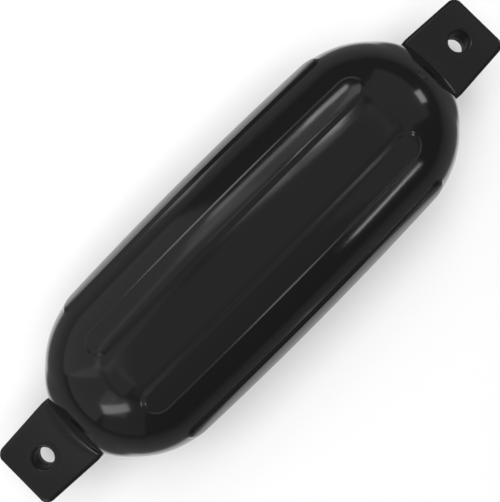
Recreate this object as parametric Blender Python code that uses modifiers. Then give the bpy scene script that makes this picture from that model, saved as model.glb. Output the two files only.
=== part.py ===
"""Inflatable boat fender with an eye lug at each end, lying on its side.

The long axis is X, the lugs lie flat in the XY plane, and +Z is up. One moulded vinyl skin makes the
ribbed barrel, both domes and both lugs. A needle valve sits in a boss on the dome at the +X end.
"""

import math

import bmesh
import bpy
import numpy as np
from mathutils import Matrix, Vector

# Barrel and domes, all radii are of the plain skin between the ribs
BODY_RADIUS = 0.1052
BARREL_HALF_LENGTH = 0.169  # from mid-length to where each dome begins
BARREL_DROP = 0.0034  # radius lost between mid-length and the start of a dome
DOME_REACH_UPRIGHT = 0.1050  # semi-axis of the dome seen from the side
DOME_REACH_FLAT = 0.1074  # semi-axis of the dome in the plane of the lugs
DOME_SQUARENESS = 3.4  # exponent of the section where the dome meets the lug, 2 is an ellipse
DOME_SQUARE_RUN = 0.034  # how far before the dome's tip its sections start to square up
DOME_SIDE_MERGE = 14.0  # the higher, the more sharply the dome's outline turns into the lug's side
WALL = 0.0025

# Ribs that run along the barrel
RIB_TILTS = (22.8, 64.8)  # degrees from the vertical to each rib of a quarter
RIB_WIDTH = 0.029  # at half its height
RIB_HEIGHT = 0.0024
RIB_WALL_RUN = 0.0046  # how far a sloping side wall spreads
RIB_OVERRUN = 0.0142  # how far the round ends run past the start of a dome
RIB_ROOT_SHARE = 0.6  # of the skin's wall that a rib's foot is sunk into

# Eye lugs
LUG_LENGTH = 0.0771  # from the upright dome's tip to the end of the lug
LUG_THICKNESS = 0.0315
LUG_ROOT_WIDTH = 0.0852
LUG_END_WIDTH = 0.0776
LUG_CORNER_RADIUS = 0.010
LUG_EDGE_RADIUS = 0.005
LUG_LEAST_EDGE = 0.0004  # edge radius that is left at the very end of the lug
ROOT_BLEND_START = 0.0036  # how far before the dome's tip the skin starts to turn into the lug
ROOT_SIDE_END = 0.0060  # how far past the tip the lug's side walls become straight
ROOT_FACE_END = 0.0140  # how far past the tip the middle of its faces becomes flat
ROOT_TOP_FULLNESS = 0.80  # 0 cuts the blend straight, 1 pulls it into a sharp corner
ROOT_SIDE_FULLNESS = 0.92
ROOT_FOLD_LIMIT = 0.8  # largest share of the blend's length at which its two tangents may meet

# Eye for the rope
EYE_FROM_END = 0.0335
EYE_THROAT_RADIUS = 0.0100  # at the parting plane
EYE_MOUTH_RADIUS = 0.0113  # where the lip begins
EYE_LIP_RADIUS = 0.0030
EYE_LIP_TURN = math.radians(78.0)  # how far round the lip is rolled

# Needle valve and its boss
VALVE_FROM_TIP = 0.0332  # along X, before the dome's tip
VALVE_HEAD_RADIUS = 0.0052
VALVE_HEAD_THICKNESS = 0.0016
VALVE_HEAD_CROWN = 0.0005
VALVE_RIM_CHAMFER = 0.0005
VALVE_SHANK_RADIUS = 0.0034
VALVE_LENGTH = 0.0145
VALVE_TAIL_CHAMFER = 0.0012
NEEDLE_HOLE_RADIUS = 0.0007
NEEDLE_HOLE_DEPTH = 0.0060
NEEDLE_FUNNEL_RADIUS = 0.0016
NEEDLE_FUNNEL_DEPTH = 0.0014
VALVE_CLEARANCE = 0.0003
BOSS_WALL = 0.0042
BOSS_DEPTH = 0.0110  # below the outer skin

# Plain finishes
VINYL_COLOUR = (0.012, 0.012, 0.013)
VINYL_ROUGHNESS = 0.2
RUBBER_COLOUR = (0.02, 0.02, 0.021)
RUBBER_ROUGHNESS = 0.45

# Fineness of the faceted surfaces
LUG_WALL_STEPS = 2  # these three share out a quarter of the points around a section
LUG_EDGE_STEPS = 4
LUG_FACE_STEPS = 4
BARREL_STEPS = 4
DOME_STEPS = 8
BLEND_STEPS = 6
LUG_STEPS = 2
TIP_STEPS = 4
RIB_SIDE_STEPS = 8
RIB_END_STEPS = 8
EYE_SEGMENTS = 24
EYE_LIP_STEPS = 3
CAVITY_SEGMENTS = 36
VALVE_SEGMENTS = 20
VALVE_CROWN_STEPS = 3
CUT_OVERSHOOT = 0.006
SAME_POINT = 1e-7  # points closer than this are one
SLOPE_STEP = 1e-5  # along X, between the two sections that give the dome's slope
SHARP_ANGLE = math.radians(30.0)

AROUND = 4 * (LUG_WALL_STEPS + LUG_EDGE_STEPS + LUG_FACE_STEPS)
BARREL_SLOPE = 2.0 * BARREL_DROP / BARREL_HALF_LENGTH
JOINT_RADIUS = BODY_RADIUS - BARREL_DROP


def dome_terms(reach):
    """Centre and equator radius of the ellipse that leaves the barrel without a kink."""
    q = BARREL_SLOPE * reach / JOINT_RADIUS
    e = (math.sqrt(1.0 + 4.0 * q * q) - 1.0) / (2.0 * q)
    return BARREL_HALF_LENGTH - reach * e, JOINT_RADIUS / math.sqrt(1.0 - e * e)


def skin_radius(x, reach):
    """Radius of the plain skin at x: a parabola along the barrel, then an ellipse."""
    x = abs(x)
    if x <= BARREL_HALF_LENGTH:
        return BODY_RADIUS - BARREL_DROP * (x / BARREL_HALF_LENGTH) ** 2
    centre, equator = dome_terms(reach)
    return equator * math.sqrt(max(1.0 - ((x - centre) / reach) ** 2, 0.0))


def skin_slope(x, reach):
    """Change of that radius with x on the dome."""
    centre, equator = dome_terms(reach)
    e = (x - centre) / reach
    return -equator / reach * e / math.sqrt(1.0 - e * e)


DOME_TIP = dome_terms(DOME_REACH_UPRIGHT)[0] + DOME_REACH_UPRIGHT
LUG_END = DOME_TIP + LUG_LENGTH
BLEND_START = DOME_TIP - ROOT_BLEND_START
LUG_ROOT = DOME_TIP + ROOT_SIDE_END
SQUARE_START = DOME_TIP - DOME_SQUARE_RUN
EYE_X = LUG_END - EYE_FROM_END
RIB_END = BARREL_HALF_LENGTH + RIB_OVERRUN
VALVE_X = DOME_TIP - VALVE_FROM_TIP


def flat_half_width(x):
    """Half of the skin's width in the plane of the lugs: the flat dome, but no less than the lug's root."""
    dome = skin_radius(x, DOME_REACH_FLAT)
    return (dome ** DOME_SIDE_MERGE + (0.5 * LUG_ROOT_WIDTH) ** DOME_SIDE_MERGE) ** (1.0 / DOME_SIDE_MERGE)


def round_section(x):
    """Points around the barrel or dome at x, starting at +Y and turning towards +Z.

    The section is an ellipse, and towards the lug a superellipse whose exponent grows.
    """
    angle = np.arange(AROUND) * 2.0 * math.pi / AROUND
    width = flat_half_width(x)
    height = skin_radius(x, DOME_REACH_UPRIGHT)
    share = min(max((x - SQUARE_START) / (BLEND_START - SQUARE_START), 0.0), 1.0)
    power = 2.0 + (DOME_SQUARENESS - 2.0) * share ** 2
    spread = (np.abs(np.cos(angle)) ** power + np.abs(np.sin(angle)) ** power) ** (-1.0 / power)
    points = [np.full(AROUND, x), width * spread * np.cos(angle), height * spread * np.sin(angle)]
    return np.stack(points, 1)


def lug_quarter(half_width, half_height, edge):
    """A quarter of a rounded rectangle: side wall, rounded edge and half of the face."""
    wall = [(half_width, (half_height - edge) * i / LUG_WALL_STEPS) for i in range(LUG_WALL_STEPS)]
    arc = []
    for i in range(LUG_EDGE_STEPS):
        turn = 0.5 * math.pi * i / LUG_EDGE_STEPS
        arc.append((half_width - edge * (1.0 - math.cos(turn)), half_height - edge * (1.0 - math.sin(turn))))
    face = [((half_width - edge) * (1.0 - i / LUG_FACE_STEPS), half_height) for i in range(LUG_FACE_STEPS)]
    return wall + arc + face


def lug_section(x, inset_width=0.0, inset_height=0.0):
    """Rounded rectangle around the lug at x, in step with round_section."""
    along = (x - LUG_ROOT) / (LUG_END - LUG_ROOT)
    half_width = 0.5 * (LUG_ROOT_WIDTH + (LUG_END_WIDTH - LUG_ROOT_WIDTH) * along) - inset_width
    half_height = 0.5 * LUG_THICKNESS - inset_height
    edge = max(LUG_EDGE_RADIUS - inset_height, LUG_LEAST_EDGE)
    quarter = lug_quarter(half_width, half_height, edge)
    upper = quarter + [(0.0, half_height)] + [(-y, z) for y, z in quarter[:0:-1]]
    ring = upper + [(-y, -z) for y, z in upper]
    return np.array([(x, y, z) for y, z in ring])


def root_ring():
    """Where the lug begins: its section, with the middle of each face further from the dome."""
    ring = lug_section(LUG_ROOT)
    flat_half = 0.5 * LUG_ROOT_WIDTH - LUG_EDGE_RADIUS
    middle = np.maximum(1.0 - (ring[:, 1] / flat_half) ** 2, 0.0)
    ring[:, 0] += (ROOT_FACE_END - ROOT_SIDE_END) * middle
    return ring


def blend_sections():
    """Sections between dome and lug: each point runs along its own tangent-continuous curve."""
    start = round_section(BLEND_START)
    end = root_ring()
    angle = np.arange(AROUND) * 2.0 * math.pi / AROUND
    slope = (start - round_section(BLEND_START - SLOPE_STEP)) / SLOPE_STEP
    upright = np.sin(angle) ** 2
    fullness = ROOT_SIDE_FULLNESS + (ROOT_TOP_FULLNESS - ROOT_SIDE_FULLNESS) * upright
    drop = np.hypot(*(start - end)[:, 1:].T)
    steepness = np.hypot(slope[:, 1], slope[:, 2])
    length = (end - start)[:, 0]
    run = np.minimum(drop / steepness, ROOT_FOLD_LIMIT * length)
    first = start + slope * (run * fullness)[:, None]
    second = end - np.array([1.0, 0.0, 0.0]) * ((length - run) * fullness)[:, None]
    sections = []
    for i in range(1, BLEND_STEPS):
        t = i / BLEND_STEPS
        sections.append(
            start * (1 - t) ** 3 + first * 3 * t * (1 - t) ** 2 + second * 3 * t * t * (1 - t) + end * t ** 3
        )
    return sections


def half_skin_sections():
    """Every section of the outer skin from mid-length to the end of the +X lug."""
    sections = [round_section(BARREL_HALF_LENGTH * i / BARREL_STEPS) for i in range(BARREL_STEPS)]
    centre, _ = dome_terms(DOME_REACH_UPRIGHT)
    first_turn = math.asin((BARREL_HALF_LENGTH - centre) / DOME_REACH_UPRIGHT)
    last_turn = math.asin((BLEND_START - centre) / DOME_REACH_UPRIGHT)
    for i in range(DOME_STEPS + 1):
        turn = first_turn + (last_turn - first_turn) * i / DOME_STEPS
        sections.append(round_section(centre + DOME_REACH_UPRIGHT * math.sin(turn)))
    sections += blend_sections()
    sections.append(root_ring())
    flat_end = LUG_END - LUG_CORNER_RADIUS
    for i in range(1, LUG_STEPS + 1):
        sections.append(lug_section(LUG_ROOT + (flat_end - LUG_ROOT) * i / LUG_STEPS))
    for i in range(1, TIP_STEPS + 1):
        turn = 0.5 * math.pi * i / TIP_STEPS
        reach = LUG_CORNER_RADIUS * math.sin(turn)
        past_edge = max(reach - (LUG_CORNER_RADIUS - LUG_EDGE_RADIUS), 0.0)
        inset_height = LUG_EDGE_RADIUS - math.sqrt(max(LUG_EDGE_RADIUS ** 2 - past_edge ** 2, 0.0))
        inset_width = LUG_CORNER_RADIUS * (1.0 - math.cos(turn))
        sections.append(lug_section(flat_end + reach, inset_width, inset_height))
    return sections


def add_object(name, mesh, collection):
    obj = bpy.data.objects.new(name, mesh)
    collection.objects.link(obj)
    return obj


def mesh_from(name, points, faces):
    mesh = bpy.data.meshes.new(name)
    mesh.from_pydata([tuple(p) for p in points], [], faces)
    bm = bmesh.new()
    bm.from_mesh(mesh)
    bmesh.ops.remove_doubles(bm, verts=bm.verts, dist=SAME_POINT)
    bmesh.ops.recalc_face_normals(bm, faces=bm.faces)
    bm.to_mesh(mesh)
    bm.free()
    return mesh


def skin_mesh():
    """The whole outer skin without ribs, as one loft from lug end to lug end."""
    half = half_skin_sections()
    mirror = np.array([-1.0, 1.0, 1.0])
    rings = [ring * mirror for ring in half[:0:-1]] + half
    faces = []
    for i in range(len(rings) - 1):
        for j in range(AROUND):
            k = (j + 1) % AROUND
            faces.append((i * AROUND + j, i * AROUND + k, (i + 1) * AROUND + k, (i + 1) * AROUND + j))
    faces.append(tuple(range(AROUND)))
    faces.append(tuple((len(rings) - 1) * AROUND + j for j in reversed(range(AROUND))))
    return mesh_from("fender_shell", np.concatenate(rings), faces)


def rib_path():
    """Stadium outline of a rib as pairs: a point on its spine and the way outwards."""
    spine = RIB_END - 0.5 * RIB_WIDTH
    path = []
    for side in (1.0, -1.0):
        for i in range(RIB_SIDE_STEPS):
            path.append((side * spine * (1.0 - 2.0 * i / RIB_SIDE_STEPS), 0.0, side))
        for i in range(RIB_END_STEPS):
            turn = math.pi * i / RIB_END_STEPS
            path.append((-side * spine, -side * math.sin(turn), side * math.cos(turn)))
    return path


def rib_mesh(centre_angle):
    """One raised rib: its half profile carried around a stadium that is wrapped on the skin."""
    inner = 0.5 * RIB_WIDTH - 0.5 * RIB_WALL_RUN
    depth = RIB_ROOT_SHARE * WALL
    foot = 0.5 * RIB_WIDTH + 0.5 * RIB_WALL_RUN + depth * RIB_WALL_RUN / RIB_HEIGHT
    profile = [(foot, -depth), (inner, RIB_HEIGHT), (0.5 * inner, RIB_HEIGHT), (0.0, RIB_HEIGHT)]
    path = rib_path()
    points = []
    for offset, height in profile:
        for x, along, across in path:
            px = x + along * offset
            angle = centre_angle + across * offset / BODY_RADIUS
            radius = skin_radius(px, DOME_REACH_UPRIGHT) + height
            points.append((px, radius * math.sin(angle), radius * math.cos(angle)))
    count = len(path)
    faces = []
    for i in range(len(profile) - 1):
        for j in range(count):
            k = (j + 1) % count
            faces.append((i * count + j, i * count + k, (i + 1) * count + k, (i + 1) * count + j))
    faces.append(tuple(range(count)))
    return mesh_from("rib", points, closed_faces(points, faces))


def closed_faces(points, faces):
    """Faces with corners that coincide, as on a rib's spine, reduced to the corners that differ."""
    kept = []
    for face in faces:
        corners = []
        for index in face:
            if all(math.dist(points[index], points[other]) > SAME_POINT for other in corners):
                corners.append(index)
        if len(corners) > 2:
            kept.append(tuple(corners))
    return kept


def turned_mesh(name, profile, segments):
    """A closed turned shape from (radius, height) points that start and end on the Z axis."""
    mesh = bpy.data.meshes.new(name)
    edges = [(i, i + 1) for i in range(len(profile) - 1)]
    mesh.from_pydata([(r, 0.0, z) for r, z in profile], edges, [])
    obj = add_object(name, mesh, helpers)
    screw = obj.modifiers.new("turn", "SCREW")
    screw.axis = "Z"
    screw.angle = 2.0 * math.pi
    screw.steps = segments
    screw.render_steps = segments
    screw.use_merge_vertices = True
    screw.merge_threshold = SAME_POINT
    turned = evaluated_mesh(obj)
    bm = bmesh.new()
    bm.from_mesh(turned)
    bmesh.ops.remove_doubles(bm, verts=bm.verts, dist=SAME_POINT)
    bmesh.ops.recalc_face_normals(bm, faces=bm.faces)
    bm.to_mesh(turned)
    bm.free()
    bpy.data.objects.remove(obj)
    turned.name = name
    return turned


def evaluated_mesh(obj):
    bpy.context.view_layer.update()
    graph = bpy.context.evaluated_depsgraph_get()
    return bpy.data.meshes.new_from_object(obj.evaluated_get(graph))


def helper(name, mesh, matrix=None):
    """A cutter or a piece to be joined, drawn as wire and never rendered."""
    obj = add_object(name, mesh, helpers)
    obj.hide_render = True
    obj.display_type = "WIRE"
    if matrix is not None:
        obj.matrix_world = matrix
    return obj


def boolean(obj, other, operation):
    modifier = obj.modifiers.new(operation.lower() + "_" + other.name, "BOOLEAN")
    modifier.operation = operation
    modifier.object = other
    modifier.solver = "EXACT"


def cavity_profile():
    """Inside of the air chamber from its -X tip to its +X tip, as (radius, x)."""
    centre, equator = dome_terms(DOME_REACH_UPRIGHT)
    reach = DOME_REACH_UPRIGHT - WALL
    points = []
    for i in range(BARREL_STEPS + 1):
        x = BARREL_HALF_LENGTH * i / BARREL_STEPS
        points.append((skin_radius(x, DOME_REACH_UPRIGHT) - WALL, x))
    first_turn = math.asin((BARREL_HALF_LENGTH - centre) / reach)
    for i in range(1, DOME_STEPS + 2):
        turn = first_turn + (0.5 * math.pi - first_turn) * i / (DOME_STEPS + 1)
        points.append(((equator - WALL) * math.cos(turn), centre + reach * math.sin(turn)))
    points[-1] = (0.0, centre + reach)
    return [(r, -x) for r, x in points[:0:-1]] + points


def eye_profile():
    """Rope hole: narrowest at the parting plane, with a rounded lip at each face."""
    face = 0.5 * LUG_THICKNESS
    upper = [(EYE_THROAT_RADIUS, 0.0), (EYE_MOUTH_RADIUS, face - EYE_LIP_RADIUS)]
    for i in range(1, EYE_LIP_STEPS + 1):
        turn = EYE_LIP_TURN * i / EYE_LIP_STEPS
        upper.append((
            EYE_MOUTH_RADIUS + EYE_LIP_RADIUS * (1.0 - math.cos(turn)),
            face - EYE_LIP_RADIUS * (1.0 - math.sin(turn)),
        ))
    last_radius, last_height = upper[-1]
    upper.append((last_radius, last_height + CUT_OVERSHOOT))
    upper.append((0.0, last_height + CUT_OVERSHOOT))
    return [(r, -z) for r, z in upper[:0:-1]] + upper


def valve_frame():
    """Matrix with its origin on the skin where the valve sits and +Z along the skin's normal."""
    slope = skin_slope(VALVE_X, DOME_REACH_UPRIGHT)
    place = Vector((VALVE_X, 0.0, skin_radius(VALVE_X, DOME_REACH_UPRIGHT)))
    normal = Vector((-slope, 0.0, 1.0)).normalized()
    return Matrix.Translation(place) @ normal.to_track_quat("Z", "Y").to_matrix().to_4x4()


def bore_profile():
    """Stepped hole for the valve: a seat for its head and a hole for its shank."""
    seat = VALVE_HEAD_RADIUS + VALVE_CLEARANCE
    shank = VALVE_SHANK_RADIUS + VALVE_CLEARANCE
    seat_floor = -VALVE_HEAD_THICKNESS - VALVE_CLEARANCE
    return [
        (0.0, CUT_OVERSHOOT),
        (seat, CUT_OVERSHOOT),
        (seat, seat_floor),
        (shank, seat_floor),
        (shank, -VALVE_LENGTH - CUT_OVERSHOOT),
        (0.0, -VALVE_LENGTH - CUT_OVERSHOOT),
    ]


def valve_profile():
    """Needle valve: funnel and needle hole, crowned head, shank and chamfered tail."""
    rim = VALVE_HEAD_RADIUS - VALVE_RIM_CHAMFER
    crown = []
    for i in range(VALVE_CROWN_STEPS + 1):
        radius = NEEDLE_FUNNEL_RADIUS + (rim - NEEDLE_FUNNEL_RADIUS) * i / VALVE_CROWN_STEPS
        crown.append((radius, VALVE_HEAD_CROWN * (1.0 - (radius / rim) ** 2)))
    return [
        (0.0, -NEEDLE_HOLE_DEPTH),
        (NEEDLE_HOLE_RADIUS, -NEEDLE_HOLE_DEPTH),
        (NEEDLE_HOLE_RADIUS, crown[0][1] - NEEDLE_FUNNEL_DEPTH),
        *crown,
        (VALVE_HEAD_RADIUS, -VALVE_RIM_CHAMFER),
        (VALVE_HEAD_RADIUS, -VALVE_HEAD_THICKNESS),
        (VALVE_SHANK_RADIUS, -VALVE_HEAD_THICKNESS),
        (VALVE_SHANK_RADIUS, VALVE_TAIL_CHAMFER - VALVE_LENGTH),
        (VALVE_SHANK_RADIUS - VALVE_TAIL_CHAMFER, -VALVE_LENGTH),
        (0.0, -VALVE_LENGTH),
    ]


def boss_profile():
    """Thick collar inside the wall that grips the valve's shank. It starts at the middle of the wall."""
    radius = VALVE_SHANK_RADIUS + VALVE_CLEARANCE + BOSS_WALL
    top = -0.5 * WALL
    return [(0.0, top), (radius, top), (radius, -BOSS_DEPTH), (0.0, -BOSS_DEPTH)]


def plain_material(name, colour, roughness):
    material = bpy.data.materials.new(name)
    material.use_nodes = True
    shader = material.node_tree.nodes["Principled BSDF"]
    shader.inputs["Base Color"].default_value = (*colour, 1.0)
    shader.inputs["Roughness"].default_value = roughness
    shader.inputs["Metallic"].default_value = 0.0
    return material


def build_shell():
    """Skin and ribs joined, then hollowed, bored through at the eyes and at the valve."""
    shell = add_object("fender_shell", skin_mesh(), parts)
    tilts = [side * tilt for tilt in RIB_TILTS for side in (1.0, -1.0)]
    for i, tilt in enumerate(tilts + [180.0 - tilt for tilt in tilts]):
        boolean(shell, helper(f"rib_{i + 1}", rib_mesh(math.radians(tilt))), "UNION")
    along_x = Matrix.Rotation(0.5 * math.pi, 4, "Y")
    chamber = helper("air_chamber", turned_mesh("air_chamber", cavity_profile(), CAVITY_SEGMENTS), along_x)
    boss = helper("valve_boss", turned_mesh("valve_boss", boss_profile(), VALVE_SEGMENTS), valve_frame())
    boolean(chamber, boss, "DIFFERENCE")
    boolean(shell, chamber, "DIFFERENCE")
    eye = turned_mesh("eye", eye_profile(), EYE_SEGMENTS)
    for name, x in (("eye_left", -EYE_X), ("eye_right", EYE_X)):
        boolean(shell, helper(name, eye, Matrix.Translation((x, 0.0, 0.0))), "DIFFERENCE")
    bore = helper("valve_bore", turned_mesh("valve_bore", bore_profile(), VALVE_SEGMENTS), valve_frame())
    boolean(shell, bore, "DIFFERENCE")
    shell.data.materials.append(plain_material("black_vinyl", VINYL_COLOUR, VINYL_ROUGHNESS))
    return shell


def build_valve():
    mesh = turned_mesh("inflation_valve", valve_profile(), VALVE_SEGMENTS)
    valve = add_object("inflation_valve", mesh, parts)
    valve.matrix_world = valve_frame()
    valve.data.materials.append(plain_material("valve_rubber", RUBBER_COLOUR, RUBBER_ROUGHNESS))
    return valve


def lowest_point(obj):
    mesh = evaluated_mesh(obj)
    low = min((obj.matrix_world @ vertex.co).z for vertex in mesh.vertices)
    bpy.data.meshes.remove(mesh)
    return low


for old in list(bpy.data.objects):
    bpy.data.objects.remove(old, do_unlink=True)
parts = bpy.data.collections.new("pneumatic_fender")
helpers = bpy.data.collections.new("cutters")
bpy.context.scene.collection.children.link(parts)
bpy.context.scene.collection.children.link(helpers)

shell = build_shell()
valve = build_valve()

# The fender lies on the plain skin between its two lowest ribs: everything is lifted to the ground plane
axis = bpy.data.objects.new("fender_axis", None)
parts.objects.link(axis)
rest_height = -lowest_point(shell)
for obj in list(parts.objects) + list(helpers.objects):
    if obj is not axis and obj.parent is None:
        obj.parent = axis
axis.location = (0.0, 0.0, rest_height)

for obj in (shell, valve):
    obj.data.shade_smooth()
    obj.data.set_sharp_from_angle(angle=SHARP_ANGLE)
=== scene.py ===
# Ribbed inflatable boat fender lying on its side: fine vinyl skin, needle valve and a pale studio.
# Lengths are metres. The long axis is X, the lugs lie flat in the XY plane and +Z is up.
import math

import bmesh
import bpy
import numpy as np
from mathutils import Matrix, Vector


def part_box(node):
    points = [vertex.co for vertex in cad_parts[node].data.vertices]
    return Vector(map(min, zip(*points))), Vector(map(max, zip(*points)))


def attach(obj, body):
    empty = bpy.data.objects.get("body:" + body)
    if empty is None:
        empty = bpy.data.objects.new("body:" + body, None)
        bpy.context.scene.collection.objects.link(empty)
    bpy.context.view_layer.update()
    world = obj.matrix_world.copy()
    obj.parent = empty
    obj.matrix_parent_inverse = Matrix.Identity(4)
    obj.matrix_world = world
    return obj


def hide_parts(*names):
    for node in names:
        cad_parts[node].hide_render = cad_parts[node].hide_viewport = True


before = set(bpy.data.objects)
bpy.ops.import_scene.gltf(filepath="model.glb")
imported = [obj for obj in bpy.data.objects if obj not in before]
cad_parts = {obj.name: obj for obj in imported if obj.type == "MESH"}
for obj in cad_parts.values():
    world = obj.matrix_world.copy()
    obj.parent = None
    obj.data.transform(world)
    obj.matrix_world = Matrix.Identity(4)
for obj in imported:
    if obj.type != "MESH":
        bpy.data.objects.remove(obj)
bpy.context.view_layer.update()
shellLow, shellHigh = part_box("fender_shell")
axisHeight = 0.5 * (shellLow.z + shellHigh.z)
print("frame loaded:", sorted(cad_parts))

# Camera. The photograph is 500 x 502 pixels, and one pixel at the fender's axis is pixelSize wide.
camera = {
    "imageHeight": 502.0,
    "focalPixels": 700.0,
    "pixelSize": 0.0010849,
    "shiftAlong": -4.9,  # where the camera stands over the fender, in pixels
    "shiftAcross": 0.3,
    "roll": 0.0018,  # the fender's own small turns towards the camera, in radians
    "yaw": 0.030,
    "pitch": -0.026,
    "sensor": 36.0,  # width, in millimetres
}


def placeCamera():
    # The fender's turns are undone, so that the fender stays flat on the floor and the camera leans instead
    turn = Matrix.Rotation(camera["roll"], 3, "Z")
    turn = turn @ Matrix.Rotation(camera["yaw"], 3, "Y") @ Matrix.Rotation(camera["pitch"], 3, "X")
    back = turn.transposed()
    place = Vector((camera["shiftAlong"], camera["shiftAcross"], camera["focalPixels"]))
    place *= camera["pixelSize"]
    right = Vector((1.0, -1.0, 0.0)).normalized()
    up = Vector((1.0, 1.0, 0.0)).normalized()
    axes = Matrix((back @ right, back @ up, back @ Vector((0.0, 0.0, 1.0)))).transposed()
    data = bpy.data.cameras.new("camera")
    data.sensor_width = camera["sensor"]
    data.lens = camera["sensor"] * camera["focalPixels"] / camera["imageHeight"]
    obj = bpy.data.objects.new("camera", data)
    obj.matrix_world = Matrix.Translation(back @ place + Vector((0.0, 0.0, axisHeight))) @ axes.to_4x4()
    bpy.context.scene.collection.objects.link(obj)
    bpy.context.scene.camera = obj


placeCamera()
print("camera placed")

# Body: barrel, domes and where they turn into the lugs. Radii are of the plain skin between the ribs.
body = {
    "radius": 0.5 * (shellHigh.z - shellLow.z),
    "barrelHalf": 0.169,
    "barrelDrop": 0.0034,  # radius lost between mid-length and the start of a dome
    "reachUpright": 0.1050,  # semi-axis of the dome seen from the side
    "reachFlat": 0.1074,  # semi-axis of the dome in the plane of the lugs
    "squareness": 3.4,  # exponent of the section where the dome meets the lug, 2 is an ellipse
    "squareRun": 0.034,  # how far before the dome's tip its sections start to square up
    "sideMerge": 14.0,  # the higher, the more sharply the dome's outline turns into the lug's side
    "blendBefore": 0.0036,  # where the skin starts to turn into the lug, before the dome's tip
    "sideAfter": 0.0060,  # where the lug's side walls become straight, past the tip
    "faceAfter": 0.0140,  # where the middle of its faces becomes flat, past the tip
    "fullTop": 0.80,  # 0 cuts the blend straight, 1 pulls it into a sharp corner
    "fullSide": 0.92,
    "foldLimit": 0.8,  # the most of its own length that the turn may spend going down the dome
    "slopeStep": 0.00001,
    "tipGuard": 1e-9,  # keeps the slope finite at the dome's very tip
    "domeSteps": 34,
    "blendSteps": 16,
}

# Ribs: raised bands with round ends, two in every quarter of the barrel
rib = {
    "tilts": (22.8, 64.8),  # degrees from the vertical to each rib of a quarter
    "spineEnd": 0.1687,  # centre of the round end
    "crownHalf": 0.0112,  # half width of the flat crown
    "edgeRun": 0.0010,  # rounded edge, then straight wall, then a small fillet at the foot
    "wallRun": 0.0032,
    "footRun": 0.0016,
    "height": 0.0024,
    "edgeSteps": 4,
    "wallSteps": 3,
    "footSteps": 7,
    "outSteps": 5,
    "sideSteps": 30,  # along the barrel
    "cornerSteps": 10,  # per eighth of the sector's end
}

# Eye lugs
lug = {
    "length": 0.0771,  # from the dome's tip
    "thickness": 0.0315,
    "rootWidth": 0.0852,
    "endWidth": 0.0776,
    "cornerRadius": 0.010,
    "edgeRadius": 0.005,
    "wallSteps": 6,
    "edgeSteps": 16,
    "faceSteps": 18,
    "sideSteps": 22,
    "leanSteps": 2,  # rows in which the strip turns from square across the lug to square to its side
    "arcSteps": 10,
    "endSteps": 34,
    "faceRows": 9,
    "supportRow": 0.0004,  # narrow row beside a rounded edge, which keeps the flat face flat
}

# Rope eyes through the lugs
eye = {
    "fromEnd": 0.0335,
    "throat": 0.0100,  # radii half way through and where the rounded lip begins
    "mouth": 0.0113,
    "lip": 0.0030,
    "lipSteps": 6,
    "boreRows": (0.25, 0.5, 0.75, 0.93),  # shares of the way from lip to throat
    "seamRise": 0.0004,  # ridge that the mould leaves half way through
    "seamHalf": 0.0006,
    "seamShoulder": (0.8, 0.4),  # the ridge's height and half width at its shoulder, as shares
    "collarAt": 0.0176,  # faint rolled ring on the face round the eye
    "collarHalf": 0.0012,
    "collarRise": 0.00010,
    "collarRows": (-1.0, -0.6, -0.3, 0.0, 0.3, 0.6, 1.0),  # in half widths of the ring
}

# Needle valve and its seat on the dome
valve = {
    "fromTip": 0.0332,
    "headRadius": 0.0052,
    "headDepth": 0.0016,
    "crown": 0.0005,
    "shankRadius": 0.0034,
    "clearance": 0.0003,
    "seatLip": 0.0006,
    "lipSteps": 4,
    "boreDepth": 0.0110,
    "blockRows": 4,  # cells of the dome on each side of the valve that its own patch takes the place of
    "patchRows": 7,
    "searchSteps": 8,
}

sectors = 4 * len(rib["tilts"])
aroundSteps = 2 * sectors * rib["cornerSteps"]
sectorHalf = math.pi / sectors * body["radius"]
domeStart = rib["spineEnd"] + sectorHalf
lugEnd = shellHigh.x
domeTip = lugEnd - lug["length"]
blendStart = domeTip - body["blendBefore"]
lugRoot = domeTip + body["sideAfter"]
squareStart = domeTip - body["squareRun"]
eyeX = lugEnd - eye["fromEnd"]
valveX = domeTip - valve["fromTip"]


def domeTerms(reach):
    # Centre and equator radius of the ellipse that carries the barrel on without a kink
    slope = 2.0 * body["barrelDrop"] / body["barrelHalf"]
    joint = body["radius"] - body["barrelDrop"]
    q = slope * reach / joint
    share = (math.sqrt(1.0 + 4.0 * q * q) - 1.0) / (2.0 * q)
    return body["barrelHalf"] - reach * share, joint / math.sqrt(1.0 - share * share)


def skinRadius(x, reach):
    # A parabola along the barrel, then an ellipse over the dome: the radius, and its change with x
    centre, equator = domeTerms(reach)
    away = np.abs(x)
    share = np.clip((away - centre) / reach, 0.0, 1.0 - body["tipGuard"])
    root = np.sqrt(1.0 - share * share)
    onBarrel = away <= body["barrelHalf"]
    drop = body["barrelDrop"] / body["barrelHalf"] ** 2
    radius = np.where(onBarrel, body["radius"] - drop * away ** 2, equator * root)
    slope = np.where(onBarrel, -2.0 * drop * away, -equator / reach * share / root)
    return radius, slope * np.sign(x)


def flatWidth(x):
    # Half width in the plane of the lugs, and its change with x: a smooth maximum of dome and lug
    dome, slope = skinRadius(x, body["reachFlat"])
    merge = body["sideMerge"]
    width = (dome ** merge + (0.5 * lug["rootWidth"]) ** merge) ** (1.0 / merge)
    return width, slope * (dome / width) ** (merge - 1.0)


def sectionPower(x):
    # Exponent of the section: 2 up to the last stretch of the dome, then growing with the square of x
    share = np.clip((np.abs(x) - squareStart) / (blendStart - squareStart), 0.0, 1.0)
    return 2.0 + (body["squareness"] - 2.0) * share ** 2


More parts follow.
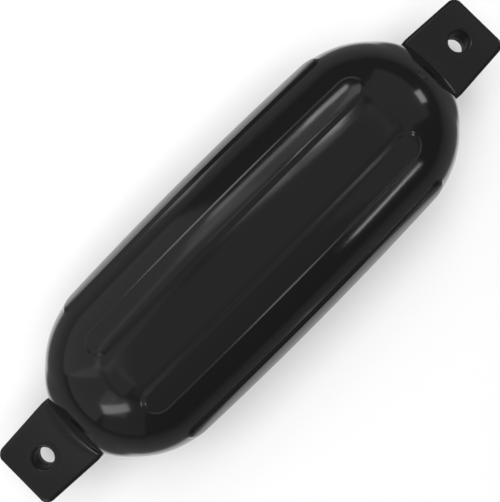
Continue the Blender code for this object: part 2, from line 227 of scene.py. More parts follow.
def skinPoints(x, angle, rise=0.0):
    # Superellipse section at x, wide by the flat dome and tall by the upright one. The angle turns from
    # +Y towards +Z, and the point moves out along the ellipse's normal by its rise.
    width, widthSlope = flatWidth(x)
    tall, tallSlope = skinRadius(x, body["reachUpright"])
    cosine, sine = np.cos(angle), np.sin(angle)
    power = sectionPower(x)
    spread = (np.abs(cosine) ** power + np.abs(sine) ** power) ** (-1.0 / power)
    point = np.stack([x + 0.0 * angle, width * spread * cosine, tall * spread * sine], -1)
    tilt = -(width * tallSlope * sine ** 2 + tall * widthSlope * cosine ** 2)
    normal = np.stack([tilt, tall * cosine, width * sine], -1)
    normal /= np.linalg.norm(normal, axis=-1, keepdims=True)
    return point + normal * np.asarray(rise)[..., None]


def gridFaces(rows, columns, closed):
    # Quads between neighbouring points of a rows x columns grid, closed round the columns or open
    r, c = np.meshgrid(np.arange(rows - 1), np.arange(columns if closed else columns - 1), indexing="ij")
    n = (c + 1) % columns
    corners = [r * columns + c, r * columns + n, (r + 1) * columns + n, (r + 1) * columns + c]
    return np.stack(corners, -1).reshape(-1, 4)


def gridPatch(points, closed):
    return points.reshape(-1, 3), gridFaces(points.shape[0], points.shape[1], closed)


weld = {
    "merge": 2e-6,  # points nearer than this are one
    "shortest": 1e-7,  # an edge shorter than this is dissolved
}


def joinPatches(name, patches, lift):
    # Every patch's points and quads in one mesh, the shared borders merged, the faces turned outwards
    points = np.concatenate([p for p, _ in patches]) + np.array([0.0, 0.0, lift])
    starts = np.cumsum([0] + [len(p) for p, _ in patches[:-1]])
    faces = np.concatenate([f + s for (_, f), s in zip(patches, starts)])
    mesh = bpy.data.meshes.new(name)
    mesh.from_pydata(points.tolist(), [], faces.tolist())
    work = bmesh.new()
    work.from_mesh(mesh)
    bmesh.ops.remove_doubles(work, verts=work.verts, dist=weld["merge"])
    bmesh.ops.dissolve_degenerate(work, edges=work.edges, dist=weld["shortest"])
    bmesh.ops.recalc_face_normals(work, faces=work.faces)
    openEdges = sum(1 for e in work.edges if len(e.link_faces) != 2)
    work.to_mesh(mesh)
    work.free()
    mesh.shade_smooth()
    obj = bpy.data.objects.new(name, mesh)
    bpy.context.scene.collection.objects.link(obj)
    mesh.calc_loop_triangles()
    print(name, "triangles", len(mesh.loop_triangles), "open edges", openEdges)
    return obj


def ribRise(r):
    # Height over the skin at a distance from the rib's spine: flat crown, an arc-like rounded edge whose
    # slope grows evenly, a straight wall, and a foot whose slope dies away evenly
    slope = rib["height"] / (0.5 * rib["edgeRun"] + rib["wallRun"] + 0.5 * rib["footRun"])
    a = r - rib["crownHalf"]
    left = rib["edgeRun"] + rib["wallRun"] + rib["footRun"] - a
    edge = rib["height"] - slope * a ** 2 / (2.0 * rib["edgeRun"])
    wall = rib["height"] - slope * (a - 0.5 * rib["edgeRun"])
    foot = slope * left ** 2 / (2.0 * rib["footRun"])
    inside = [a <= 0.0, a <= rib["edgeRun"], a <= rib["edgeRun"] + rib["wallRun"], left >= 0.0]
    return np.select(inside, [rib["height"] + 0.0 * a, edge, wall, foot], 0.0)


def ribSector(middle, offset):
    # Rays leave the rib's spine, straight across along its sides and like a fan round its ends, and stop on
    # the border of the rib's eighth of the barrel. Every ray carries the same profile. The spine lies the
    # offset away from the middle of the eighth.
    n = rib["cornerSteps"]
    i = np.arange(4 * n)
    shift = offset * body["radius"]
    endAlong = sectorHalf * np.minimum(1.0, np.minimum(i / n, (4 * n - i) / n))
    endAcross = sectorHalf * np.clip((2 * n - i) / n, -1.0, 1.0)
    side = np.linspace(-1.0, 1.0, rib["sideSteps"] + 1)[:-1] * rib["spineEnd"]
    still = np.zeros(len(side))
    end = np.full(4 * n, rib["spineEnd"])
    root = np.concatenate([side, end, -side, -end])
    along = np.concatenate([still, endAlong, still, -endAlong])
    across = np.concatenate([still + sectorHalf, endAcross, still - sectorHalf, -endAcross]) - shift
    reach = np.hypot(along, across)
    crown, edge, wall = rib["crownHalf"], rib["edgeRun"], rib["wallRun"]
    outer = crown + edge + wall + rib["footRun"]
    profile = np.concatenate([
        [0.0, 0.5 * crown],
        np.linspace(crown, crown + edge, rib["edgeSteps"] + 1)[:-1],
        np.linspace(crown + edge, crown + edge + wall, rib["wallSteps"] + 1)[:-1],
        np.linspace(crown + edge + wall, outer, rib["footSteps"] + 1),
    ])
    inner = np.repeat(profile[:, None], len(reach), 1)
    share = np.arange(1, rib["outSteps"] + 1)[:, None] / rib["outSteps"]
    r = np.concatenate([inner, outer + (reach - outer) * share])
    x = root + along / reach * r
    angle = middle + offset + across / reach * r / body["radius"]
    return gridPatch(skinPoints(x, angle, ribRise(r)), True)


def lugProfile(halfWidth, halfHeight, edge):
    # A quarter of the lug's section from the middle of its side wall: wall, rounded edge, half of the face
    wall = np.arange(lug["wallSteps"]) / lug["wallSteps"]
    turn = 0.5 * math.pi * np.arange(lug["edgeSteps"]) / lug["edgeSteps"]
    face = 1.0 - np.arange(lug["faceSteps"]) / lug["faceSteps"]
    edgeY = halfWidth - edge * (1.0 - np.cos(turn))
    edgeZ = halfHeight - edge * (1.0 - np.sin(turn))
    y = np.concatenate([0.0 * wall + halfWidth, edgeY, (halfWidth - edge) * face])
    z = np.concatenate([(halfHeight - edge) * wall, edgeZ, 0.0 * face + halfHeight])
    return y, z


def rootX(y):
    # Where the lug begins: straight across its rounded edges and side walls, and bowed over its faces
    middle = np.maximum(1.0 - (y / (0.5 * lug["rootWidth"] - lug["edgeRadius"])) ** 2, 0.0)
    return lugRoot + (body["faceAfter"] - body["sideAfter"]) * middle


def lugRing():
    # The whole section where the lug begins, from +Y towards +Z
    y, z = lugProfile(0.5 * lug["rootWidth"], 0.5 * lug["thickness"], lug["edgeRadius"])
    upperY = np.concatenate([y, [0.0], -y[:0:-1]])
    upperZ = np.concatenate([z, [0.5 * lug["thickness"]], z[:0:-1]])
    ringY = np.r_[upperY, -upperY]
    return np.stack([rootX(ringY), ringY, np.r_[upperZ, -upperZ]], -1)


def domeRings():
    # Sections from the last rib to the lug: even turns of the dome's ellipse, then a cubic curve for each
    # point, which leaves the dome along its slope and reaches the lug along X
    angle = np.arange(aroundSteps) * 2.0 * math.pi / aroundSteps
    centre, _ = domeTerms(body["reachUpright"])
    first = math.asin((domeStart - centre) / body["reachUpright"])
    last = math.asin((blendStart - centre) / body["reachUpright"])
    turn = np.linspace(first, last, body["domeSteps"] + 1)
    x = centre + body["reachUpright"] * np.sin(turn)
    dome = skinPoints(x[:, None], angle[None, :] + 0.0 * x[:, None])
    start = dome[-1]
    end = lugRing()
    before = blendStart - body["slopeStep"]
    slope = (start - skinPoints(before + 0.0 * angle, angle)) / body["slopeStep"]
    full = body["fullSide"] + (body["fullTop"] - body["fullSide"]) * np.sin(angle) ** 2
    length = (end - start)[:, 0]
    drop = np.hypot(*(start - end)[:, 1:].T)
    run = np.minimum(drop / np.hypot(slope[:, 1], slope[:, 2]), body["foldLimit"] * length)
    one = start + slope * (run * full)[:, None]
    two = end - np.array([1.0, 0.0, 0.0]) * ((length - run) * full)[:, None]
    t = (np.arange(1, body["blendSteps"] + 1) / body["blendSteps"])[:, None, None]
    blend = start * (1 - t) ** 3 + one * 3 * t * (1 - t) ** 2 + two * 3 * t * t * (1 - t) + end * t ** 3
    return dome, blend, x, angle


def lugPatches():
    # Edge strip: the section's side profile carried round the lug's outline. Faces: rays from the eye to
    # the strip. Bore: a turned profile from the upper lip to the lower one.
    halfThick, edge, corner = 0.5 * lug["thickness"], lug["edgeRadius"], lug["cornerRadius"]
    y, z = lugProfile(0.5 * lug["rootWidth"], halfThick, edge)
    count = lug["wallSteps"] + lug["edgeSteps"]
    inset = (0.5 * lug["rootWidth"] - y)[:count + 1]
    across = np.concatenate([inset[::-1], inset[1:]])
    heights = np.concatenate([z[:count + 1][::-1], -z[1:count + 1]])
    side = np.linspace(0.0, 1.0, lug["sideSteps"] + 1)
    cornerX, cornerY = lugEnd - corner, 0.5 * lug["endWidth"] - corner
    lean = math.atan2(0.5 * (lug["rootWidth"] - lug["endWidth"]), cornerX - lugRoot)
    turn = np.linspace(lean, 0.5 * math.pi, lug["arcSteps"] + 1)
    arcX, arcY = cornerX + corner * np.sin(turn), cornerY + corner * np.cos(turn)
    sideX = lugRoot + (arcX[0] - lugRoot) * side
    sideY = 0.5 * lug["rootWidth"] + (arcY[0] - 0.5 * lug["rootWidth"]) * side
    sideTurn = lean * np.minimum(side * lug["sideSteps"] / lug["leanSteps"], 1.0)
    end = np.linspace(1.0, -1.0, lug["endSteps"] + 1)[1:-1] * cornerY
    halfX = np.concatenate([sideX[:-1], arcX])
    halfY = np.concatenate([sideY[:-1], arcY])
    halfTurn = np.concatenate([sideTurn[:-1], turn])
    pathX = np.concatenate([halfX, 0.0 * end + lugEnd, halfX[::-1]])
    pathY = np.concatenate([halfY, end, -halfY[::-1]])
    outX = np.concatenate([np.sin(halfTurn), 0.0 * end + 1.0, np.sin(halfTurn)[::-1]])
    outY = np.concatenate([np.cos(halfTurn), 0.0 * end, -np.cos(halfTurn)[::-1]])
    strip = np.stack([
        pathX[:, None] - outX[:, None] * across,
        pathY[:, None] - outY[:, None] * across,
        0.0 * pathX[:, None] + heights,
    ], -1)
    rootY = np.linspace(-1.0, 1.0, 2 * lug["faceSteps"] + 1)[1:-1] * (0.5 * lug["rootWidth"] - edge)
    border = np.concatenate([strip[:, 0, :2], np.stack([rootX(rootY), rootY], -1)])
    ray = border - np.array([eyeX, 0.0])
    far = np.hypot(*ray.T)
    ray = ray / far[:, None]
    lipOuter = eye["mouth"] + eye["lip"]
    collar = np.array(eye["collarRows"])
    lipRows = [lipOuter, lipOuter + lug["supportRow"]]
    near = np.concatenate([lipRows, collar * eye["collarHalf"] + eye["collarAt"]])
    rise = np.zeros(len(near))
    rise[len(lipRows):] = eye["collarRise"] * 0.5 * (1.0 + np.cos(math.pi * collar))
    share = np.concatenate([np.arange(1, lug["faceRows"]) / lug["faceRows"], [1.0]])[:, None]
    outwards = near[-1] + (far - lug["supportRow"] - near[-1]) * share
    r = np.concatenate([np.repeat(near[:, None], len(far), 1), outwards, far[None, :]])
    rise = np.concatenate([rise, np.zeros(len(r) - len(rise))])[:, None] + 0.0 * r
    face = np.stack([eyeX + r * ray[:, 0], r * ray[:, 1], halfThick + rise], -1)
    lipTurn = np.linspace(0.5 * math.pi, 0.0, eye["lipSteps"] + 1)
    down = np.array(eye["boreRows"])
    shoulderRise, shoulderHalf = eye["seamShoulder"]
    boreR = np.concatenate([
        eye["mouth"] + eye["lip"] * (1.0 - np.cos(lipTurn)),
        eye["mouth"] + (eye["throat"] - eye["mouth"]) * down,
        eye["throat"] - eye["seamRise"] * np.array([0.0, shoulderRise, 1.0]),
    ])
    boreZ = np.concatenate([
        halfThick - eye["lip"] * (1.0 - np.sin(lipTurn)),
        (halfThick - eye["lip"]) * (1.0 - down),
        eye["seamHalf"] * np.array([1.0, shoulderHalf, 0.0]),
    ])
    boreR = np.concatenate([boreR, boreR[-2::-1]])
    boreZ = np.concatenate([boreZ, -boreZ[-2::-1]])
    bore = np.stack([
        eyeX + boreR[:, None] * ray[:, 0],
        boreR[:, None] * ray[:, 1],
        boreZ[:, None] + 0.0 * far,
    ], -1)
    lower = face * np.array([1.0, 1.0, -1.0])
    return [gridPatch(strip, False), gridPatch(face, True), gridPatch(lower, True), gridPatch(bore, True)]


def valveAxes():
    # Where the valve sits on the dome, and its outward axis
    tall, slope = skinRadius(np.array(valveX), body["reachUpright"])
    place = Vector((valveX, 0.0, float(tall)))
    normal = Vector((-float(slope), 0.0, 1.0)).normalized()
    return place, normal


def valvePatch(x, angle, rows, columns):
    # The dome's cells round the valve, drawn again as rings: from the block's border, along the skin, to a
    # true circle about the valve's axis, then over a rounded lip and down the stepped bore
    place, normal = valveAxes()
    slide = Vector((normal.z, 0.0, -normal.x))
    low, high = rows
    left, right = columns
    borderX = np.concatenate([
        np.full(right - left, x[low]), x[low:high], np.full(right - left, x[high]), x[high:low:-1],
    ])
    borderA = np.concatenate([
        angle[left:right], np.full(high - low, angle[right]),
        angle[right:left:-1], np.full(high - low, angle[left]),
    ])
    tall = float(skinRadius(np.array(valveX), body["reachUpright"])[0])
    turn = np.arctan2((0.5 * math.pi - borderA) * tall, (borderX - valveX) / normal.z)
    ring = np.cos(turn)[:, None] * np.array(slide) + np.sin(turn)[:, None] * np.array([0.0, 1.0, 0.0])
    seat = valve["headRadius"] + valve["clearance"]
    rim = seat + valve["seatLip"]
    depth = np.zeros(len(turn))
    for _ in range(valve["searchSteps"]):  # Newton steps along the axis, until the circle lies on the skin
        point = np.array(place) + ring * rim + depth[:, None] * np.array(normal)
        width = flatWidth(point[:, 0])[0]
        height, slope = skinRadius(point[:, 0], body["reachUpright"])
        power = sectionPower(point[:, 0])
        miss = point[:, 2] - height * (1.0 - np.abs(point[:, 1] / width) ** power) ** (1.0 / power)
        depth -= miss / (normal.z - slope * normal.x)
    point = np.array(place) + ring * rim + depth[:, None] * np.array(normal)
    width = flatWidth(point[:, 0])[0]
    height = skinRadius(point[:, 0], body["reachUpright"])[0]
    circleA = np.arctan2(point[:, 2] / height, point[:, 1] / width)
    share = (np.arange(valve["patchRows"] + 1) / valve["patchRows"])[:, None]
    skin = skinPoints(borderX + (point[:, 0] - borderX) * share, borderA + (circleA - borderA) * share)
    lipTurn = np.linspace(0.0, 0.5 * math.pi, valve["lipSteps"] + 1)[1:]
    shank = valve["shankRadius"] + valve["clearance"]
    step = -valve["headDepth"] - valve["clearance"]
    boreR = np.concatenate([rim - valve["seatLip"] * np.sin(lipTurn), [seat, shank, shank, 0.0]])
    lipDepth = -valve["seatLip"] * (1.0 - np.cos(lipTurn))
    boreDepth = np.concatenate([
        depth + lipDepth[:, None],
        np.array([step, step, -valve["boreDepth"], -valve["boreDepth"]])[:, None] + 0.0 * depth,
    ])
    bore = np.array(place) + ring * boreR[:, None, None] + boreDepth[..., None] * np.array(normal)
    return gridPatch(np.concatenate([skin, bore]), True)


def makeSkin():
    # Eight rib sectors, then at the valve's end the dome with the valve's patch cut in and the lug, and the
    # same dome and lug mirrored, without the patch, at the other end
    tilts = [side * tilt for tilt in rib["tilts"] for side in (1.0, -1.0)]
    patches = []
    for tilt in tilts + [180.0 - tilt for tilt in tilts]:
        angle = 0.5 * math.pi - math.radians(tilt)
        middle = (math.floor(angle * sectors / (2.0 * math.pi)) + 0.5) * 2.0 * math.pi / sectors
        patches.append(ribSector(middle, angle - middle))
    dome, blend, x, angle = domeRings()
    row = int(np.argmin(np.abs(x - valveX)))
    column = aroundSteps // 4
    rows = (row - valve["blockRows"], row + valve["blockRows"])
    columns = (column - valve["blockRows"], column + valve["blockRows"])
    rings = np.concatenate([dome, blend])
    faces = gridFaces(rings.shape[0], aroundSteps, True)
    cellRow, cellColumn = np.divmod(np.arange(len(faces)), aroundSteps)
    inRows = (cellRow >= rows[0]) & (cellRow < rows[1])
    inColumns = (cellColumn >= columns[0]) & (cellColumn < columns[1])
    patches.append((rings.reshape(-1, 3), faces[~(inRows & inColumns)]))
    patches.append(valvePatch(x, angle, rows, columns))
    lugs = lugPatches()
    mirror = np.array([-1.0, 1.0, 1.0])
    patches.append((rings.reshape(-1, 3) * mirror, faces))
    patches += lugs + [(p * mirror, f) for p, f in lugs]
    return joinPatches("fender_skin", patches, axisHeight)


skin = makeSkin()
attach(skin, "root")
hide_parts("fender_shell")
print("skin made")

# Needle valve: a turned rubber plug with a rounded rim, a shallow ring groove and the needle's funnel
plug = {
    "rimRound": 0.0006,
    "rimSteps": 6,
    "crownSteps": 21,
    "grooveAt": 0.0032,
    "grooveHalf": 0.0005,
    "grooveDepth": 0.00025,
    "funnel": 0.0016,
    "funnelDepth": 0.0014,
    "funnelLip": 0.0002,  # how much wider its foot and its mouth turn out
    "footShare": 0.8,  # height of its foot, as a share of its depth
    "mouthShare": 0.7,  # height of its mouth, as a share of the crown
    "hole": 0.0007,
    "holeDepth": 0.0060,
    "length": 0.0145,
    "chamfer": 0.0012,
    "turns": 72,
}


def makeValve():
    # (radius, height) profile from the bottom of the needle hole, over the head and down the shank
    head, shank = valve["headRadius"], valve["shankRadius"]
    hole, lip, length = plug["hole"], plug["funnelLip"], plug["length"]
    rim = head - plug["rimRound"]
    crownR = np.linspace(plug["funnel"] + lip, rim, plug["crownSteps"] + 1)
    dip = np.clip(1.0 - np.abs(crownR - plug["grooveAt"]) / plug["grooveHalf"], 0.0, 1.0)
    groove = plug["grooveDepth"] * np.sin(0.5 * math.pi * dip)
    crownZ = valve["crown"] * (1.0 - (crownR / head) ** 2) - groove
    turn = np.linspace(0.0, 0.5 * math.pi, plug["rimSteps"] + 1)[1:]
    rimR = rim + plug["rimRound"] * np.sin(turn)
    rimZ = crownZ[-1] - plug["rimRound"] * (1.0 - np.cos(turn))
    foot = -plug["footShare"] * plug["funnelDepth"]
    mouth = plug["mouthShare"] * valve["crown"]
    radius = np.concatenate([
        [0.0, hole, hole, hole + lip, plug["funnel"]], crownR, rimR,
        [head, shank, shank, shank - plug["chamfer"], 0.0],
    ])
    height = np.concatenate([
        [-plug["holeDepth"], -plug["holeDepth"], -plug["funnelDepth"], foot, mouth], crownZ, rimZ,
        [-valve["headDepth"], -valve["headDepth"], plug["chamfer"] - length, -length, -length],
    ])
    place, normal = valveAxes()
    slide = np.array([normal.z, 0.0, -normal.x])
    turn = np.arange(plug["turns"]) * 2.0 * math.pi / plug["turns"]
    ring = np.cos(turn)[:, None] * slide + np.sin(turn)[:, None] * np.array([0.0, 1.0, 0.0])
    points = np.array(place) + ring * radius[:, None, None] + height[:, None, None] * np.array(normal)
    return joinPatches("needle_valve", [gridPatch(points, True)], axisHeight)


needleValve = makeValve()
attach(needleValve, "root")
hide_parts("inflation_valve")
print("valve made")

# Finishes. Heights are metres, and each size is the scale of a noise: waves to a metre or so.
vinyl = {
    "colour": (0.0080, 0.0080, 0.0084),
    "roughness": 0.125,
    "roughnessSpread": 0.03,
    "boreRoughness": 0.6,
    "dullLip": 0.8,  # share of the eye's lip over which it turns dull
    "swell": 0.00016,  # slow waves that the mould and the air leave
    "swellSize": 14.0,
    "peel": 0.000010,
    "peelSize": 260.0,
    "grain": 0.0000012,
    "grainSize": 1700.0,
    "seamHeight": 0.00012,
    "seamHalf": 0.0004,
}
rubber = {
    "colour": (0.016, 0.016, 0.017),
    "roughness": 0.42,
    "swell": 0.00002,
    "swellSize": 120.0,
    "peel": 0.000008,
    "peelSize": 900.0,
    "grain": 0.000003,
    "grainSize": 4200.0,
}
layers = {
    "octaves": {"Swell": 1.0, "Peel": 2.0, "Grain": 2.0},
    "hazeSize": 9.0,  # patches in which the surface is a little duller
    "hazeOctaves": 5.0,
}


def newGroup(name, inputs, outputs):
    group = bpy.data.node_groups.new(name, "ShaderNodeTree")
    for label, kind in inputs.items():
        group.interface.new_socket(label, in_out="INPUT", socket_type=kind)
    for label in outputs:
        group.interface.new_socket(label, in_out="OUTPUT", socket_type="NodeSocketFloat")
    return group, group.nodes.new("NodeGroupInput"), group.nodes.new("NodeGroupOutput")


def mathNode(tree, operation, *values):
    # Each value is a number, which is set on the node, or a socket, which is linked to it
    node = tree.nodes.new("ShaderNodeMath")
    node.operation = operation
    for socket, value in zip(node.inputs, values):
        if isinstance(value, float):
            socket.default_value = value
        else:
            tree.links.new(value, socket)
    return node.outputs[0]


def makeReliefGroup():
    # Height of the moulded surface: slow swell, orange peel and fine grain, each a noise times its own
    # height, and a mask of where the surface is a little duller
    inputs = {"Vector": "NodeSocketVector"}
    for label in layers["octaves"]:
        inputs[label] = "NodeSocketFloat"
        inputs[label + " Size"] = "NodeSocketFloat"
    group, source, sink = newGroup("mouldedRelief", inputs, ("Height", "Haze"))
    total = None
    for label, octaves in layers["octaves"].items():
        noise = group.nodes.new("ShaderNodeTexNoise")
        noise.inputs["Detail"].default_value = octaves
        group.links.new(source.outputs["Vector"], noise.inputs["Vector"])
        group.links.new(source.outputs[label + " Size"], noise.inputs["Scale"])
        part = mathNode(group, "MULTIPLY", noise.outputs["Fac"], source.outputs[label])
        total = part if total is None else mathNode(group, "ADD", total, part)
    group.links.new(total, sink.inputs["Height"])
    haze = group.nodes.new("ShaderNodeTexNoise")
    haze.inputs["Scale"].default_value = layers["hazeSize"]
    haze.inputs["Detail"].default_value = layers["hazeOctaves"]
    group.links.new(source.outputs["Vector"], haze.inputs["Vector"])
    group.links.new(haze.outputs["Fac"], sink.inputs["Haze"])
    return group


def makeSeamGroup():
    # Parting line of the mould: 1 on a thin band about one height, dying away on both sides
    inputs = {"Vector": "NodeSocketVector", "Level": "NodeSocketFloat", "Half Width": "NodeSocketFloat"}
    group, source, sink = newGroup("partingLine", inputs, ("Mask",))
    split = group.nodes.new("ShaderNodeSeparateXYZ")
    group.links.new(source.outputs["Vector"], split.inputs[0])
    above = mathNode(group, "SUBTRACT", split.outputs["Z"], source.outputs["Level"])
    away = mathNode(group, "DIVIDE", mathNode(group, "ABSOLUTE", above), source.outputs["Half Width"])
    share = mathNode(group, "SUBTRACT", 1.0, away)
    ramp = group.nodes.new("ShaderNodeMapRange")
    ramp.interpolation_type = "SMOOTHSTEP"
    group.links.new(share, ramp.inputs["Value"])
    group.links.new(ramp.outputs["Result"], sink.inputs["Mask"])
    return group


reliefGroup = makeReliefGroup()
seamGroup = makeSeamGroup()


def newMaterial(name):
    material = bpy.data.materials.new(name)
    material.use_nodes = True
    tree = material.node_tree
    shader = tree.nodes["Principled BSDF"]
    place = tree.nodes.new("ShaderNodeTexCoord")
    return material, tree, shader, place.outputs["Object"]


def addGroup(tree, group, place, values):
    node = tree.nodes.new("ShaderNodeGroup")
    node.node_tree = group
    tree.links.new(place, node.inputs["Vector"])
    for label, value in values.items():
        node.inputs[label].default_value = value
    return node


def addRelief(tree, place, finish):
    values = {}
    for label in layers["octaves"]:
        values[label] = finish[label.lower()]
        values[label + " Size"] = finish[label.lower() + "Size"]
    return addGroup(tree, reliefGroup, place, values)


def addBump(tree, shader, height):
    bump = tree.nodes.new("ShaderNodeBump")
    bump.inputs["Distance"].default_value = 1.0  # so that the height counts in metres
    tree.links.new(height, bump.inputs["Height"])
    tree.links.new(bump.outputs["Normal"], shader.inputs["Normal"])


def vinylMaterial():
    material, tree, shader, place = newMaterial("glossy_black_vinyl")
    relief = addRelief(tree, place, vinyl)
    seam = addGroup(tree, seamGroup, place, {"Level": axisHeight, "Half Width": vinyl["seamHalf"]})
    ridge = mathNode(tree, "MULTIPLY", seam.outputs["Mask"], vinyl["seamHeight"])
    addBump(tree, shader, mathNode(tree, "ADD", relief.outputs["Height"], ridge))
    rough = tree.nodes.new("ShaderNodeMapRange")
    rough.inputs["To Min"].default_value = vinyl["roughness"] - vinyl["roughnessSpread"]
    rough.inputs["To Max"].default_value = vinyl["roughness"] + vinyl["roughnessSpread"]
    tree.links.new(relief.outputs["Haze"], rough.inputs["Value"])
    # The eye's bore is duller than the rest, by the square of the distance from the eye's axis
    split = tree.nodes.new("ShaderNodeSeparateXYZ")
    tree.links.new(place, split.inputs[0])
    along = mathNode(tree, "SUBTRACT", mathNode(tree, "ABSOLUTE", split.outputs["X"]), eyeX)
    across = split.outputs["Y"]
    square = mathNode(tree, "ADD", mathNode(tree, "POWER", along, 2.0), mathNode(tree, "POWER", across, 2.0))
    bore = tree.nodes.new("ShaderNodeMapRange")
    bore.inputs["From Min"].default_value = (eye["mouth"] + vinyl["dullLip"] * eye["lip"]) ** 2
    bore.inputs["From Max"].default_value = eye["mouth"] ** 2
    bore.inputs["To Max"].default_value = vinyl["boreRoughness"]
    tree.links.new(square, bore.inputs["Value"])
    dull = mathNode(tree, "MAXIMUM", rough.outputs["Result"], bore.outputs["Result"])
    tree.links.new(dull, shader.inputs["Roughness"])
    shader.inputs["Base Color"].default_value = (*vinyl["colour"], 1.0)
    return material


def rubberMaterial():
    material, tree, shader, place = newMaterial("satin_valve_rubber")
    addBump(tree, shader, addRelief(tree, place, rubber).outputs["Height"])
    shader.inputs["Base Color"].default_value = (*rubber["colour"], 1.0)
    shader.inputs["Roughness"].default_value = rubber["roughness"]
    return material


skin.data.materials.append(vinylMaterial())
needleValve.data.materials.append(rubberMaterial())
print("finishes made")

# Studio: a pale floor with painted shade past its pale square, a dim room, one broad lamp overhead and lit
# panels that show in the vinyl
studio = {
    "floorSize": 6.0,
    "floorGrey": 0.86,
    # painted shade: the darker floor colour past the pale square
    "paintedShadeGrey": 0.18,
    "paleTo": 0.45,  # along X plus along Y: the floor is pale up to here, and painted shade darkens it up to the next
    "darkFrom": 0.52,
    "floorRoughness": 0.9,
    "floorSpecular": 0.1,
    "room": 0.05,
    "overheadAt": (0.0, 0.0, 1.9),
    "overheadSize": 1.6,
    "overheadPower": 39.0,
}
panels = {
    # name: direction from the fender's middle, distance, width, height, turn in degrees, radiance
    "wallPlusY": ((-0.49, 0.83, 0.36), 1.7, 2.0, 1.7, 0.0, 0.36),
    "highPlusY": ((0.26, 0.66, 0.66), 1.7, 1.3, 0.36, 0.0, 0.55),
    "fillPlusY": ((-0.25, 0.55, 0.80), 1.7, 1.6, 0.6, 0.0, 0.30),
    "stripPlusY": ((0.20, 0.92, 0.64), 1.45, 0.50, 0.14, 0.0, 2.0),
    "stripPlusYEnd": ((0.44, 0.86, 0.62), 1.45, 0.22, 0.13, 0.0, 4.6),
    "lampHigh": ((0.31, 0.48, 0.83), 1.6, 0.30, 0.18, 0.0, 6.0),
    "lampHighTail": ((0.10, 0.49, 0.87), 1.6, 0.42, 0.16, 0.0, 2.0),
    "lampHighSoft": ((0.22, 0.42, 0.89), 1.6, 0.60, 0.12, 0.0, 0.8),
    "lampHighEnd": ((0.50, 0.58, 0.64), 1.6, 0.35, 0.35, 0.0, 0.8),
    "ceiling": ((0.0, 0.03, 1.0), 2.2, 2.2, 1.8, 0.0, 0.16),
    "fillMinusY": ((0.0, -0.66, 0.75), 1.7, 2.2, 1.4, 0.0, 0.11),
    "fillMinusYEnd": ((0.45, -0.65, 0.62), 1.6, 0.7, 0.8, 0.0, 0.12),
    "stripMinusY": ((0.33, -0.92, 0.27), 1.4, 0.34, 0.07, 0.0, 6.0),
    "leftEnd": ((-0.84, -0.24, 0.48), 1.3, 0.55, 0.20, 40.0, 2.6),
    "leftEndSoft": ((-0.84, -0.20, 0.55), 1.3, 0.55, 0.45, 0.0, 0.35),
    "leftWall": ((-0.90, 0.18, 0.40), 1.7, 1.20, 1.4, 0.0, 0.27),
    "leftWallLow": ((-0.82, -0.42, 0.36), 1.7, 1.0, 1.3, 0.0, 0.13),
    "rightWall": ((0.80, 0.05, 0.56), 1.7, 1.9, 1.2, 0.0, 0.22),
    "rightEnd": ((0.95, -0.15, 0.25), 1.4, 0.24, 0.20, 0.0, 3.6),
    "leftHigh": ((-0.52, 0.05, 0.84), 2.2, 1.4, 0.8, 0.0, 0.26),
    "rightHigh": ((0.50, 0.0, 0.87), 2.2, 1.5, 0.4, 0.0, 0.20),
}


def addPanel(name, direction, distance, width, height, spin, radiance):
    # An area lamp that faces the fender and is as bright as its radiance says, whatever its size
    data = bpy.data.lights.new(name, "AREA")
    data.shape = "RECTANGLE"
    data.size = width
    data.size_y = height
    data.energy = radiance * math.pi * width * height
    obj = bpy.data.objects.new(name, data)
    way = Vector(direction).normalized()
    obj.location = way * distance + Vector((0.0, 0.0, axisHeight))
    facing = way.to_track_quat("Z", "Y").to_matrix() @ Matrix.Rotation(math.radians(spin), 3, "Z")
    obj.rotation_euler = facing.to_euler()
    bpy.context.scene.collection.objects.link(obj)


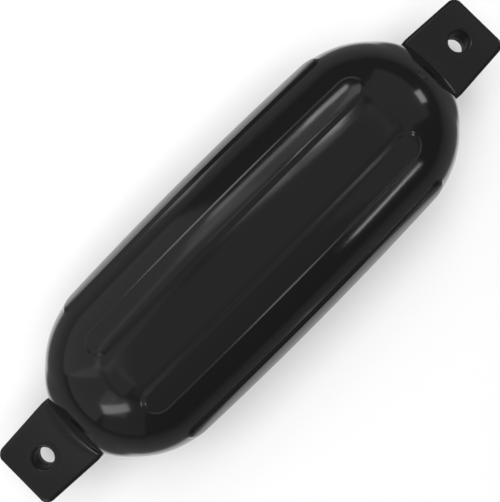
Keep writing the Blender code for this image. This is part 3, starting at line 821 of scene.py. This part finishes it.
def makeFloor():
    # Pale within a square that stands on its corner, and darker past it: painted shade, a dark floor colour
    # that the vinyl reflects as a dim floor there
    half = 0.5 * studio["floorSize"]
    corners = [(-half, -half, 0.0), (half, -half, 0.0), (half, half, 0.0), (-half, half, 0.0)]
    mesh = bpy.data.meshes.new("floor")
    mesh.from_pydata(corners, [], [(0, 1, 2, 3)])
    floor = bpy.data.objects.new("floor", mesh)
    bpy.context.scene.collection.objects.link(floor)
    material, tree, shader, place = newMaterial("pale_floor_with_painted_shade")
    flat = tree.nodes.new("ShaderNodeVectorMath")
    flat.operation = "ABSOLUTE"
    total = tree.nodes.new("ShaderNodeVectorMath")
    total.operation = "DOT_PRODUCT"
    total.inputs[1].default_value = (1.0, 1.0, 0.0)
    ramp = tree.nodes.new("ShaderNodeMapRange")
    ramp.interpolation_type = "SMOOTHSTEP"
    ramp.inputs["From Min"].default_value = studio["paleTo"]
    ramp.inputs["From Max"].default_value = studio["darkFrom"]
    ramp.inputs["To Min"].default_value = studio["floorGrey"]
    # painted shade: past the pale square the floor's colour is darkened
    ramp.inputs["To Max"].default_value = studio["paintedShadeGrey"]
    tree.links.new(place, flat.inputs[0])
    tree.links.new(flat.outputs["Vector"], total.inputs[0])
    tree.links.new(total.outputs["Value"], ramp.inputs["Value"])
    tree.links.new(ramp.outputs["Result"], shader.inputs["Base Color"])
    shader.inputs["Roughness"].default_value = studio["floorRoughness"]
    shader.inputs["Specular IOR Level"].default_value = studio["floorSpecular"]
    mesh.materials.append(material)


def makeRoom():
    world = bpy.data.worlds.new("room")
    world.use_nodes = True
    world.node_tree.nodes["Background"].inputs["Color"].default_value = (1.0, 1.0, 1.0, 1.0)
    world.node_tree.nodes["Background"].inputs["Strength"].default_value = studio["room"]
    bpy.context.scene.world = world
    overhead = bpy.data.lights.new("overhead", "AREA")
    overhead.shape = "SQUARE"
    overhead.size = studio["overheadSize"]
    overhead.energy = studio["overheadPower"]
    obj = bpy.data.objects.new("overhead", overhead)
    obj.location = studio["overheadAt"]
    obj.visible_glossy = False
    bpy.context.scene.collection.objects.link(obj)
    for name, values in panels.items():
        addPanel(name, *values)


makeFloor()
makeRoom()
bpy.context.scene.view_settings.view_transform = "Standard"
print("studio lit")
